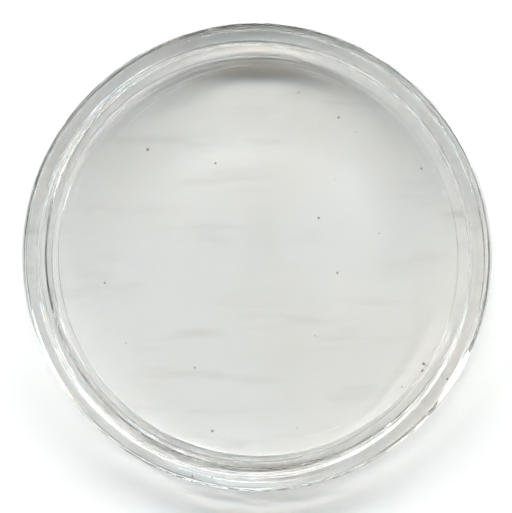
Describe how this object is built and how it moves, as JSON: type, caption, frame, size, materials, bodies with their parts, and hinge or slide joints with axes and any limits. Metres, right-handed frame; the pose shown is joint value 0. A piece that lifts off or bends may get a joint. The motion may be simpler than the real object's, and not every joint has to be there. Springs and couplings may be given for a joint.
{
  "type": "coin capsule",
  "caption": "Round clear capsule that holds and protects a coin: a base with a round well, and a lid that snaps down over the well's wall.",
  "frame": {"origin": "centre of the foot ring, in the plane that it stands on", "axes": "+Z along the capsule's axis, from the base up to the lid; X and Y are free, because the shape is round"},
  "size_m": [0.0312, 0.0312, 0.0056],
  "materials": {
    "clear_plastic": "clear moulded polystyrene, glossy"
  },
  "bodies": {
    "base": {"capsule_base": "clear_plastic"},
    "lid": {"capsule_lid": "clear_plastic"}
  },
  "joints": [
    {"name": "lid_lift", "type": "slide", "parent": "base", "child": "lid", "axis": [0, 0, 1], "range_m": [0, 0.02]}
  ]
}
